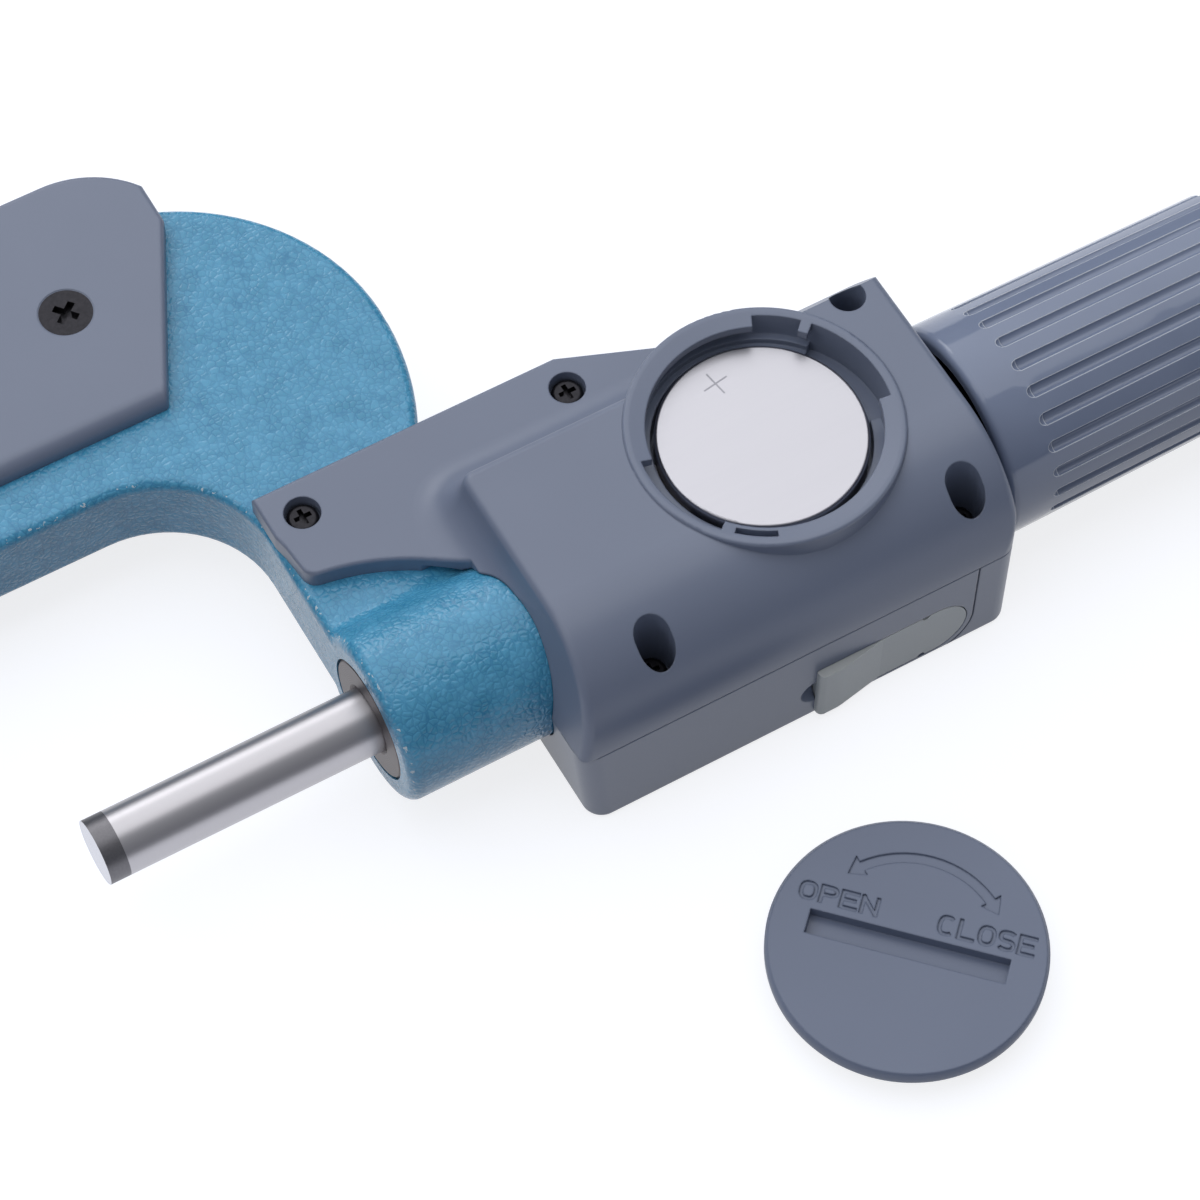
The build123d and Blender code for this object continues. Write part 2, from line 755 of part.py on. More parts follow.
def button_places():
    middle = housing_start + window_place
    return [(middle + step * button_spacing, button_height) for step in (-1, 0, 1)]


def make_front_housing():
    """Moulded front cover: a box with the display window, the button holes and the data port."""
    outer = [(housing_start, parting_height), (housing_start + front_draft, -display_depth),
             (housing_end, -display_depth), (housing_end, parting_height)]
    box = across([Polyline(*outer, outer[0])], -side_wall, side_wall)
    rim = [e for e in box.edges() if abs(e.center().Z - (parting_height - display_depth) / 2) < 0.1]
    box = fillet(rim, corner_round)
    box = fillet(level_edges(box, -display_depth), cover_edge)
    box = chamfer(level_edges(box, parting_height), parting_line)
    screws = [post(x, y, cover_inside, board_bottom, screw_post) for x, y in housing_screw_places()]
    screws += [post(x, y, board_bottom, parting_height, screw_post_tip) for x, y in housing_screw_places()]
    screws = [piece & box for piece in screws]
    inside = (housing_start + front_draft + wall, housing_end - wall)
    box -= block(inside, (-side_wall + wall, side_wall - wall), (cover_inside, parting_height + 1))
    face = (housing_start + 5, housing_end - 5)
    sides = (-side_wall + 3, side_wall - 3)
    panel = block(face, sides, (-display_depth - 1, -display_depth + bezel_height))
    box -= fillet(panel.edges().filter_by(Axis.Z), corner_round)
    box += screws
    box -= frame_room()
    box -= shaft(housing_end - wall - 1, housing_end + 1, outer_sleeve_radius)
    for x, y in housing_screw_places():
        box -= post(x, y, cover_seat - housing_screw_length - passing_gap, parting_height + 1, small_shank)
    box -= window_block(0, -display_depth - 1, cover_inside + 1)
    for x, y in button_places():
        box -= post(x, y, -display_depth - 1, cover_inside + 1, button_radius + guide_clearance)
    box -= port_shape(0, -side_wall + port_depth, -side_wall - 1)
    box -= make_side_groove()
    box -= port_shape(-port_shelf, -side_wall + wall + 1, -side_wall - 1)
    dip_y = -side_wall + nail_dip - nail_dip_radius
    box -= Pos(port_x - port_length / 2, dip_y, port_height) * Sphere(nail_dip_radius)
    return max(box.solids(), key=lambda s: s.volume)


def window_block(margin, bottom, top):
    """The block of the display opening, grown by a margin."""
    x = housing_start + window_place
    half_x = window_width / 2 + margin
    half_y = window_height / 2 + margin
    x_range = (x - half_x, x + half_x)
    return block(x_range, (window_middle - half_y, window_middle + half_y), (bottom, top))


def port_shape(margin, inner, outer):
    """The rounded shape of the data port, grown by a margin, from one Y to another."""
    half = port_width / 2 + margin
    left = port_x - port_length / 2 - margin
    right = port_x + port_length / 2 + margin - half
    body = block((left, right), (outer, inner), (port_height - half, port_height + half))
    end = Pos(right, (inner + outer) / 2, port_height) * Rot(90, 0, 0) * Cylinder(half, inner - outer)
    return body + end


def make_side_groove():
    """Fine groove on the side, from the parting line down and round the end of the port."""
    outer, inner = -side_wall - 1, -side_wall + side_groove
    ring = port_shape(port_rim + side_groove, inner, outer) - port_shape(port_rim, inner, outer)
    end = port_x + port_length / 2 + port_rim
    ring &= block((end - port_width / 2, end + 1), (outer, inner), (-display_depth, port_height))
    return ring + block((end, end + side_groove), (outer, inner), (port_height, parting_height))


def make_port_plug():
    """Rubber plug in the data port, thicker at the end where it is pulled off."""
    plug = port_shape(-guide_clearance, -side_wall + port_depth, -side_wall)
    plug += port_shape(-port_shelf - guide_clearance, -side_wall + wall, -side_wall + port_depth)
    left = port_x - port_length / 2 - guide_clearance
    half = port_width / 2 - guide_clearance
    height = (port_height - half, port_height + half)
    proud = -side_wall - port_grip
    grip_end = left + port_grip_length
    outline = Polyline((left, -side_wall), (left, proud), (grip_end, proud),
                       (grip_end + port_grip_slope, -side_wall), close=True)
    grip = raised([outline], *height)
    grip = fillet(corner_edges(grip, grip_end, proud), port_grip_slope)
    grip = fillet(corner_edges(grip, left, proud), port_grip * 0.7)
    plug += grip
    notch_x = port_x + port_length / 2 - port_notch_place
    for z in height:
        plug -= Pos(notch_x, -side_wall, z) * Rot(90, 0, 0) * Cylinder(port_notch, 2 * port_depth)
    return plug


def make_port_connector():
    """Plug socket soldered to the board behind the data port."""
    half = port_length / 2 - 2.6
    front = -side_wall + wall + passing_gap
    socket = block((port_x - half, port_x + half), (front, front + 4.3), (board_top, board_top + 3.6))
    mouth_half = half - 0.6
    mouth_x = (port_x - mouth_half, port_x + mouth_half)
    return socket - block(mouth_x, (front - 1, front + 2.8), (board_top + 0.6, board_top + 3))


def make_board():
    """Circuit board on the shoulders of the three screw posts, open to its edge round each post."""
    half = side_wall - wall - board_margin
    length = (boss_back + 2, housing_end - wall - board_margin)
    board = block(length, (-half, half), (board_bottom, board_top))
    notch = screw_post_tip + guide_clearance
    height = (board_bottom - 1, board_top + 1)
    for x, y in housing_screw_places():
        board -= post(x, y, *height, notch)
        side = (y, side_wall) if y > 0 else (-side_wall, y)
        board -= block((x - notch, x + notch), side, height)
    return board


def make_display_panel():
    """Liquid crystal panel between the board and the window."""
    return window_block(panel_margin, cover_inside, board_bottom)


def make_window():
    """Clear window, flush with the recessed face of the front cover."""
    return window_block(0, cover_inside - window_wall, cover_inside)


def make_button(x, y):
    """Push button whose rim rests behind the front cover."""
    cap = post(x, y, -display_depth + button_below, cover_inside, button_radius)
    cap = fillet(cap.edges().group_by(Axis.Z)[0], 0.3)
    return cap + post(x, y, cover_inside, cover_inside + 0.5, button_radius + button_rim)


# Battery, contacts and cap

def make_cell():
    """Coin cell lying on its contact in the well."""
    cell = post(cell_x, cell_y, cell_floor, cell_floor + cell_height, cell_radius)
    return fillet(cell.edges().group_by(Axis.Z)[-1], cell_edge)


def make_floor_contact():
    """Spring leaf on the floor of the well, under the cell."""
    return block((cell_x - 6, cell_x + 6), (cell_y - 2, cell_y + 2), (well_bottom, cell_floor))


def make_side_contact():
    """Spring strip in the gap beside the cell."""
    inner = cell_radius + 0.04
    top = cell_floor + side_contact_height
    ring = post(cell_x, cell_y, cell_floor, top, well_radius)
    ring -= post(cell_x, cell_y, cell_floor, top, inner)
    x_range = (cell_x - well_radius, cell_x)
    return ring & block(x_range, (cell_y - 3, cell_y + 3), (cell_floor, top))


def make_battery_cap():
    """Cap with a coin slot on top, and below it a plug with bayonet lugs and a groove for the seal."""
    table = -display_depth
    plug_top = table + cap_plug_height
    disc = post(0, 0, plug_top, plug_top + cap_disc, cap_radius)
    disc = chamfer(disc.edges().group_by(Axis.Z)[-1], cap_edge)
    cap = disc + post(0, 0, table, plug_top, cap_plug_radius)
    lug_ring = post(0, 0, table, table + groove_height - 0.3, cap_plug_radius + cap_lug_reach)
    for turn in (0, 180):
        lug = lug_ring & block((0, 20), (-4.5, 4.5), (table, plug_top))
        cap += Rot(0, 0, turn) * lug
    hollow = cap_plug_radius - wall
    cap -= post(0, 0, table, table + 1.2, hollow)
    groove = Pos(0, 0, seal_height()) * Torus(cap_plug_radius, seal_radius)
    cap -= groove
    half = coin_slot_length / 2
    slot_y = (-coin_slot_width / 2, coin_slot_width / 2)
    slot_top = plug_top + cap_disc
    cap -= block((-half, half), slot_y, (slot_top - coin_slot_depth, slot_top + 1))
    return Pos(cap_x, cap_y, 0) * Rot(0, 0, cap_turn) * cap


def seal_height():
    """The seal lies in its groove just under the disc of the cap."""
    return -display_depth + cap_plug_height - seal_radius


def make_cap_seal():
    return Pos(cap_x, cap_y, seal_height()) * Torus(cap_plug_radius, seal_radius)


# Spindle, sleeves and encoder

def make_spindle():
    """Ground spindle with a keyway below, the thread behind, and a pilot for thimble and ratchet."""
    start = smallest_reading + carbide_length
    body = turned([
        (start, 0), (start, spindle_radius), (thread_start, spindle_radius), (thread_start, thread_radius),
        (thread_end, thread_radius), (thread_end, pilot_radius), (ratchet_start, pilot_radius),
        (ratchet_start, 0),
    ])
    keyway_start = lug_front - passing_gap - key_length - travel - 0.2
    keyway = (-spindle_radius - 1, -spindle_radius + key_depth + guide_clearance)
    half = key_width / 2 + guide_clearance / 2
    body -= block((keyway_start, lug_front), (-half, half), keyway)
    return body - shaft(thread_end - 4, ratchet_start + 1, ratchet_screw_shank)


def make_sleeve():
    """Threaded sleeve pressed into the lug: thin under the battery, thick and slit at the nut end."""
    step = ring_x + well_radius + well_wall + 1
    relief = sleeve_radius - sleeve_wall
    nut_start = sleeve_end - nut_thread_length
    body = shaft(lug_front, step, sleeve_radius) + shaft(step, sleeve_end, sleeve_rear_radius)
    body -= shaft(lug_front - 1, sleeve_end, spindle_bore)
    body -= shaft(thread_start - 8, nut_start, relief)
    body -= shaft(nut_start, sleeve_end + 1, thread_radius + running_clearance)
    for turn in (0, 120, 240):
        slit_x = (sleeve_end - sleeve_slit_length, sleeve_end + 1)
        slit = block(slit_x, (-sleeve_slit / 2, sleeve_slit / 2), (0, sleeve_rear_radius + 1))
        body -= Rot(turn, 0, 0) * slit
    return body


def make_adjusting_nut():
    """Ring nut that closes the slit end of the sleeve on the thread."""
    start = sleeve_end - adjusting_nut_length - adjusting_nut_place
    nut = tube(start, start + adjusting_nut_length, adjusting_nut_radius, sleeve_rear_radius)
    for turn in (0, 90, 180, 270):
        notch_start = start + (adjusting_nut_length - nut_notch) / 2
        notch_depth = (sleeve_rear_radius + nut_notch_floor, adjusting_nut_radius + 1)
        notch_width = (-nut_notch / 2, nut_notch / 2)
        nut -= Rot(turn, 0, 0) * block((notch_start, notch_start + nut_notch), notch_width, notch_depth)
    return nut


def make_outer_sleeve():
    """Tube that the thimble passes over, carried by the end wall of the housing and the inner sleeve."""
    inside = housing_end - wall
    body = tube(inside, sleeve_end, outer_sleeve_radius, outer_sleeve_bore)
    return body + tube(inside, inside + wall, outer_sleeve_radius, sleeve_rear_radius)


def make_stator():
    """Fixed plate of the encoder, on the back of the boss."""
    return tube(boss_back, boss_back + encoder_plate, stator_radius, rotor_hub_radius - 1)


def make_rotor():
    """Encoder disc and hub; a key in its bore turns with the spindle."""
    start = boss_back + encoder_plate + 0.6
    end = lug_front - passing_gap
    body = shaft(start, start + encoder_plate, rotor_radius) + shaft(start, end, rotor_hub_radius)
    body -= shaft(start - 1, end + 1, spindle_bore)
    key_z = (-spindle_radius - 0.5, -spindle_radius + key_depth)
    return body + block((end - key_length, end), (-key_width / 2, key_width / 2), key_z)


# Spindle lock

def make_lock_lever():
    """Lever on the front of the boss, its hub in a spot face."""
    hub = post(lock_x, 0, lock_bottom, lock_seat - guide_clearance, lock_hub_radius)
    hub = fillet(hub.edges().group_by(Axis.Z)[0], 0.5)
    half = lock_arm_width / 2
    end = lock_arm_length - half
    top = -spindle_boss_radius - guide_clearance * 2
    arm = block((lock_x - half, lock_x + half), (0, end), (lock_bottom, top))
    arm += post(lock_x, end, lock_bottom, top, half)
    return hub + fillet(level_edges(arm, lock_bottom), 0.4)


def make_lock_stud():
    """Stud that the lever turns; its end bears on the spindle when locked."""
    return post(lock_x, 0, lock_seat - guide_clearance, -spindle_radius - guide_clearance, lock_stud_radius)


# Thimble and ratchet

def make_thimble():
    """Moulded grip sleeve with a smooth collar and flutes that start in ball ends."""
    rear = thimble_radius - thimble_taper
    body = turned([
        (thimble_start, core_radius), (thimble_start, thimble_radius), (thimble_end, rear),
        (thimble_end, core_radius),
    ])
    body = fillet(body.edges().group_by(Axis.X)[0].sort_by(SortBy.LENGTH)[-1], thimble_front)
    body = fillet(body.edges().group_by(Axis.X)[-1].sort_by(SortBy.LENGTH)[-1], thimble_front / 2)
    return body - flutes(thimble_start + flute_place, thimble_end + 2, thimble_radius, rear, flute_count)


def flutes(start, end, front_radius, rear_radius, count):
    """Ball-ended cutters laid round a taper, each a rod and a ball."""
    lean = (front_radius - rear_radius) / (end - start)
    axis_front = front_radius + flute_radius - flute_depth
    ball = Pos(start + flute_radius, axis_front, 0) * Sphere(flute_radius)
    run = end - start - flute_radius
    rod = Pos(start + flute_radius + run / 2, axis_front - lean * run / 2, 0)
    rod *= Rot(0, 90, 0) * Cylinder(flute_radius, run)
    cutter = ball + rod
    return [Rot(flute_phase + turn * 360 / count, 0, 0) * cutter for turn in range(count)]


def make_thimble_core():
    """Metal tube inside the grip sleeve; its end wall is clamped on the spindle."""
    front = thimble_start + thimble_front
    body = tube(front, thimble_end, core_radius, core_bore)
    return body + tube(thread_end, thimble_end, core_radius, pilot_radius)


def ratchet_plate_disc(start, radius, bore, side):
    """A ratchet plate with shallow notches on one side."""
    plate = tube(start, start + ratchet_plate, radius, bore)
    face = start + ratchet_plate if side > 0 else start
    notch = block((face - 0.4, face + 0.4), (radius * 0.6, radius + 1), (-0.5, 0.5))
    return plate - [Rot(turn * 30, 0, 0) * notch for turn in range(12)]


def make_ratchet_seat():
    """Ratchet plate fixed on the spindle, behind the thimble."""
    return ratchet_plate_disc(thimble_end, ratchet_radius - ratchet_wall - 0.8, pilot_radius, 1)


def ratchet_pawl_start():
    return ratchet_start + guide_clearance


def make_ratchet_pawl():
    """Ratchet plate that turns with the knob."""
    radius = ratchet_radius - ratchet_wall
    return ratchet_plate_disc(ratchet_pawl_start(), radius, ratchet_screw_shank + guide_clearance, -1)


def make_ratchet_spring():
    """Dished spring washer that presses the ratchet plates together."""
    start = ratchet_pawl_start() + ratchet_plate
    return turned([
        (start, 5.6), (start + 0.4, 5.6), (start + 1.5, 2.4), (start + 1.1, 2.4),
    ])


def make_ratchet_knob():
    """Fluted knob, hollow at the front for the ratchet."""
    start = thimble_end + passing_gap
    end = thimble_end + ratchet_length
    inside = ratchet_pawl_start() + ratchet_plate + 1.5
    knob = shaft(start, end, ratchet_radius)
    knob = fillet(knob.edges().group_by(Axis.X)[-1], 0.8)
    knob -= flutes(start + 1.5, end + 2, ratchet_radius, ratchet_radius, ratchet_flutes)
    knob -= shaft(start - 1, inside, ratchet_radius - ratchet_wall)
    knob -= shaft(start, end + 1, ratchet_screw_shank + guide_clearance)
    return knob - shaft(end - 1.6, end + 1, ratchet_screw_head + passing_gap)


def make_ratchet_screw():
    """Screw through the knob into the end of the spindle."""
    end = thimble_end + ratchet_length - 0.2
    seat = thimble_end + ratchet_length - 1.6 + guide_clearance
    screw = shaft(thread_end - 4, seat, ratchet_screw_shank) + shaft(seat, end, ratchet_screw_head)
    slot = block((end - 0.7, end + 1), (-0.4, 0.4), (-ratchet_screw_head - 1, ratchet_screw_head + 1))
    return screw - slot


def write_parts():
    rear_plate = make_plate()
    plate_screws = [plate_screw(x, y) for x, y in plate_screw_places()]
    flange_seat = flange_height - flange_screw_depth
    flange_screws = [small_screw(x, y, flange_seat, flange_screw_length) for x, y in flange_screw_places()]
    cover_screws = [small_screw(x, y, cover_seat, housing_screw_length) for x, y in housing_screw_places()]
    parts = {
        "frame": make_frame(),
        "anvil": make_anvil(),
        "anvil_tip": shaft(-carbide_length, 0, anvil_radius),
        "spindle_bush": make_bush(),
        "inner_sleeve": make_sleeve(),
        "adjusting_nut": make_adjusting_nut(),
        "outer_sleeve": make_outer_sleeve(),
        "rear_grip_plate": rear_plate,
        "front_grip_plate": mirror(rear_plate, Plane.XY),
        "grip_plate_screws": group(plate_screws + [mirror(s, Plane.XY) for s in plate_screws]),
        "rear_housing": make_rear_housing(),
        "front_housing": make_front_housing(),
        "flange_screws": group(flange_screws),
        "housing_screws": group(cover_screws),
        "battery_cell": make_cell(),
        "battery_floor_contact": make_floor_contact(),
        "battery_side_contact": make_side_contact(),
        "battery_cap": make_battery_cap(),
        "battery_cap_seal": make_cap_seal(),
        "circuit_board": make_board(),
        "display_panel": make_display_panel(),
        "display_window": make_window(),
        "port_connector": make_port_connector(),
        "port_plug": make_port_plug(),
        "encoder_stator": make_stator(),
        "encoder_rotor": make_rotor(),
        "lock_lever": make_lock_lever(),
        "lock_stud": make_lock_stud(),
        "spindle": make_spindle(),
        "spindle_tip": shaft(smallest_reading, smallest_reading + carbide_length, spindle_radius),
        "thimble": make_thimble(),
        "thimble_core": make_thimble_core(),
        "ratchet_seat": make_ratchet_seat(),
        "ratchet_pawl": make_ratchet_pawl(),
        "ratchet_spring": make_ratchet_spring(),
        "ratchet_knob": make_ratchet_knob(),
        "ratchet_screw": make_ratchet_screw(),
    }
    for number, (x, y) in enumerate(button_places(), start=1):
        parts[f"button_{number}"] = make_button(x, y)
    os.makedirs("parts", exist_ok=True)
    for name, solid in parts.items():
        export_step(solid, f"parts/{name}.step")


write_parts()
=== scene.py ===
import math

import bmesh
import bpy
from mathutils import Matrix, Vector


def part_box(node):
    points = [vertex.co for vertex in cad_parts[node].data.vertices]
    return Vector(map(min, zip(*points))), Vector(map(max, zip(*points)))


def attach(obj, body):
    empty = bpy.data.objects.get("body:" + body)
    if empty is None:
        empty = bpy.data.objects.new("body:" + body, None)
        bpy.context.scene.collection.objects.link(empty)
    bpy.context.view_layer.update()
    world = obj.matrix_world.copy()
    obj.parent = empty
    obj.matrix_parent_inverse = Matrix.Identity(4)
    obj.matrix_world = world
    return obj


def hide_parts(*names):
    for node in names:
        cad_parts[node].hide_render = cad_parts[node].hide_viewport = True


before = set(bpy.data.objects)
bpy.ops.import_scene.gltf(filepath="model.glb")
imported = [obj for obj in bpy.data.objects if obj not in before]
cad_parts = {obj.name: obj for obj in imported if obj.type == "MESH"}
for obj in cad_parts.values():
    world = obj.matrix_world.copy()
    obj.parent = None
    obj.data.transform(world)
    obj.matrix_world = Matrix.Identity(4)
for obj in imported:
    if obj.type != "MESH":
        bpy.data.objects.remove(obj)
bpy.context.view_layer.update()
mm = 0.001

# Frame
# An iron casting, as one with its two bosses, sprayed with hammered enamel and stoved.
# The enamel draws together into small domed cells, a little darker where they meet.
# It is thin on the sharp rims of the throat and of the boss, where it has chipped.


def linear(hex_colour):
    """An sRGB hex colour, as Blender's linear colour."""
    channels = [int(hex_colour[i:i + 2], 16) / 255 for i in (1, 3, 5)]
    return [c / 12.92 if c < 0.04045 else ((c + 0.055) / 1.055) ** 2.4 for c in channels] + [1.0]


def node(material, kind, settings=None, **links):
    """Adds a node with its settings, and links to the inputs that are named."""
    made = material.node_tree.nodes.new("ShaderNode" + kind)
    for name, value in (settings or {}).items():
        if isinstance(name, int) or name in made.inputs:
            made.inputs[name].default_value = value
        else:
            setattr(made, name, value)
    for name, source in links.items():
        socket = int(name[1:]) if name[0] == "_" else name.replace("_", " ")
        material.node_tree.links.new(source, made.inputs[socket])
    return made


def new_material(name, colour, **shader):
    """A material with one Principled shader, and that shader."""
    material = bpy.data.materials.new(name)
    material.use_nodes = True
    principled = material.node_tree.nodes["Principled BSDF"]
    principled.inputs["Base Color"].default_value = linear(colour)
    for setting, value in shader.items():
        principled.inputs[setting.replace("_", " ")].default_value = value
    return material, principled


def feed(material, principled, **links):
    """Links what the shader's named inputs take from the pattern."""
    for name, source in links.items():
        material.node_tree.links.new(source, principled.inputs[name.replace("_", " ")])


def give(material, *names):
    """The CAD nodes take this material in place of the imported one."""
    for name in names:
        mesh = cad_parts[name].data
        mesh.materials.clear()
        mesh.materials.append(material)


def hammered_enamel():
    """Stoved enamel: cells under a millimetre wide with fine seams, slow waves in the gloss, chipped rims."""
    cell = 0.66 * mm
    cloud_width = 2.5 * mm
    wave_width = 2 * mm
    dome_height = 0.05 * mm
    material, principled = new_material("hammered_enamel_on_cast_iron", "#4082AC", Roughness=0.2, IOR=1.5)
    place = node(material, "TexCoord").outputs["Object"]
    warp = node(material, "TexNoise", {"Scale": 0.6 / cell, "Detail": 2.0}, Vector=place)
    centred = node(material, "VectorMath", {"operation": "SUBTRACT", 1: (0.5, 0.5, 0.5)},
                   _0=warp.outputs["Color"])
    push = node(material, "VectorMath", {"operation": "SCALE", "Scale": 0.8 * cell}, _0=centred.outputs[0])
    warped = node(material, "VectorMath", {"operation": "ADD"}, _0=place, _1=push.outputs[0])
    cells = {"Scale": 1 / cell, "Randomness": 0.9}
    edge = node(material, "TexVoronoi", {"feature": "DISTANCE_TO_EDGE", **cells}, Vector=warped.outputs[0])
    own = node(material, "TexVoronoi", {"feature": "F1", **cells}, Vector=warped.outputs[0])
    cloud = node(material, "TexNoise", {"Scale": 1 / cloud_width, "Detail": 4.0}, Vector=place)
    random = node(material, "SeparateColor", Color=own.outputs["Color"])
    shade = node(material, "Math", {"operation": "MULTIPLY_ADD", 1: 0.3}, _0=random.outputs[0],
                 _2=cloud.outputs["Fac"])
    spread = node(material, "MapRange", {"From Min": 0.35, "From Max": 1.0}, Value=shade.outputs[0])
    mottled = node(material, "Mix", {"data_type": "RGBA", 6: linear("#56A2C8"), 7: linear("#408EB2")},
                   _0=spread.outputs[0])
    seam = node(material, "MapRange", {"interpolation_type": "SMOOTHSTEP", "From Max": 0.14, "To Min": 0.68,
                                       "To Max": 0.0}, Value=edge.outputs["Distance"])
    seam_here = node(material, "Math", {"operation": "MULTIPLY"}, _0=seam.outputs[0], _1=cloud.outputs["Fac"])
    seamed = node(material, "Mix", {"data_type": "RGBA", 7: linear("#1A679A")}, _0=seam_here.outputs[0],
                  _6=mottled.outputs[2])
    chips = chipped_rims(material, place)
    chipped = node(material, "Mix", {"data_type": "RGBA", 7: linear("#B9CAD4")}, _0=chips,
                   _6=seamed.outputs[2])
    dome = node(material, "MapRange", {"interpolation_type": "SMOOTHSTEP", "From Max": 0.35},
                Value=edge.outputs["Distance"])
    wave = node(material, "TexNoise", {"Scale": 1 / wave_width, "Detail": 3.0}, Vector=place)
    height = node(material, "Math", {"operation": "MULTIPLY_ADD", 1: 4.0}, _0=wave.outputs["Fac"],
                  _2=dome.outputs[0])
    bump = node(material, "Bump", {"Strength": 0.6, "Distance": dome_height}, Height=height.outputs[0])
    feed(material, principled, Base_Color=chipped.outputs[2], Normal=bump.outputs[0])
    return material


def chipped_rims(material, place):
    """Where the enamel has chipped: specks along the rim of the throat and the front rim of the boss."""
    throat_half = 28.5 * mm
    throat_round = 11.5 * mm
    throat_middle = 24.2 * mm
    throat_top = 30.5 * mm
    rim_distance = 0.35 * mm
    rim_half_width = 0.16 * mm
    speck_width = 0.5 * mm
    axes = node(material, "SeparateXYZ", Vector=place).outputs
    from_middle = node(material, "Math", {"operation": "SUBTRACT", 1: throat_middle}, _0=axes["X"])
    sideways = node(material, "Math", {"operation": "ABSOLUTE"}, _0=from_middle.outputs[0])
    past_x = node(material, "Math", {"operation": "SUBTRACT", 1: throat_half - throat_round},
                  _0=sideways.outputs[0])
    past_y = node(material, "Math", {"operation": "SUBTRACT", 1: throat_top - throat_round}, _0=axes["Y"])
    out_x = node(material, "Math", {"operation": "MAXIMUM", 1: 0.0}, _0=past_x.outputs[0])
    out_y = node(material, "Math", {"operation": "MAXIMUM", 1: 0.0}, _0=past_y.outputs[0])
    flat = node(material, "CombineXYZ", X=out_x.outputs[0], Y=out_y.outputs[0])
    reach = node(material, "VectorMath", {"operation": "LENGTH"}, _0=flat.outputs[0])
    on_rim = {"operation": "COMPARE", 1: throat_round + rim_distance, 2: rim_half_width}
    rim = node(material, "Math", on_rim, _0=reach.outputs["Value"])
    speck = node(material, "TexNoise", {"Scale": 1 / speck_width, "Detail": 3.0}, Vector=place)
    shown = node(material, "Math", {"operation": "GREATER_THAN", 1: 0.64}, _0=speck.outputs["Fac"])
    chips = node(material, "Math", {"operation": "MULTIPLY"}, _0=rim.outputs[0], _1=shown.outputs[0])
    return chips.outputs[0]


give(hammered_enamel(), "frame")

# Anvil, spindle and their tips
# Hardened tool steel bars, ground round and round, which leaves fine rings across the bar.
# Their measuring faces are carbide tips, brazed on and lapped dull grey.


def ground_steel():
    """Hardened tool steel, cylindrically ground: bright, with very fine rings."""
    ring_pitch = 0.1 * mm
    ring_height = 0.005 * mm
    material, principled = new_material("ground_tool_steel", "#B8B6BA", Metallic=1.0, Roughness=0.34)
    place = node(material, "TexCoord").outputs["Object"]
    rings = node(material, "Mapping", {"Scale": (1 / ring_pitch, 60.0, 60.0)}, Vector=place)
    scratch = node(material, "TexNoise", {"Scale": 1.0, "Detail": 2.0}, Vector=rings.outputs[0])
    shine = node(material, "MapRange", {"To Min": 0.3, "To Max": 0.4}, Value=scratch.outputs["Fac"])
    bump = node(material, "Bump", {"Strength": 0.1, "Distance": ring_height}, Height=scratch.outputs["Fac"])
    feed(material, principled, Roughness=shine.outputs[0], Normal=bump.outputs[0])
    return material


def lapped_carbide():
    """Sintered tungsten carbide: dull and dark on its ground side, pale on the lapped measuring face."""
    lap_grain = 0.2 * mm
    face_normal = 0.98  # along X, above which a point lies on the measuring face
    material, principled = new_material("lapped_carbide", "#77767A", Metallic=1.0, Roughness=0.42)
    where = node(material, "TexCoord").outputs
    lap = node(material, "TexNoise", {"Scale": 1 / lap_grain, "Detail": 3.0}, Vector=where["Object"])
    side = node(material, "Mix", {"data_type": "RGBA", 6: linear("#6A696D"), 7: linear("#7C7B7F")},
                _0=lap.outputs["Fac"])
    axes = node(material, "SeparateXYZ", Vector=where["Normal"]).outputs
    facing = node(material, "Math", {"operation": "ABSOLUTE"}, _0=axes["X"])
    on_face = node(material, "Math", {"operation": "GREATER_THAN", 1: face_normal}, _0=facing.outputs[0])
    tone = node(material, "Mix", {"data_type": "RGBA", 7: linear("#C2C2CA")}, _0=on_face.outputs[0],
                _6=side.outputs[2])
    shine = node(material, "MapRange", {"To Min": 0.42, "To Max": 0.25}, Value=on_face.outputs[0])
    feed(material, principled, Base_Color=tone.outputs[2], Roughness=shine.outputs[0])
    return material


steel = ground_steel()
give(steel, "anvil", "spindle")
give(lapped_carbide(), "anvil_tip", "spindle_tip")

# Spindle bush, lock lever and lock stud
# A steel bush pressed flush into the boss and faced off with it, and a turned lever on its stud.
# Facing leaves dull brownish-grey rings, darker than the ground spindle.


def turned_steel():
    """Free-cutting steel, turned, and browned by handling."""
    cut_pitch = 0.6 * mm
    cut_height = 0.01 * mm
    material, principled = new_material("turned_steel", "#625C5D", Metallic=1.0, Roughness=0.42)
    place = node(material, "TexCoord").outputs["Object"]
    rings = {"wave_type": "RINGS", "rings_direction": "X", "Scale": 1 / cut_pitch, "Distortion": 1.0}
    cut = node(material, "TexWave", rings, Vector=place)
    tone = node(material, "Mix", {"data_type": "RGBA", 6: linear("#585253"), 7: linear("#6C6666")},
                _0=cut.outputs["Fac"])
    bump = node(material, "Bump", {"Strength": 0.15, "Distance": cut_height}, Height=cut.outputs["Fac"])
    feed(material, principled, Base_Color=tone.outputs[2], Normal=bump.outputs[0])
    return material


give(turned_steel(), "spindle_bush", "lock_lever", "lock_stud")
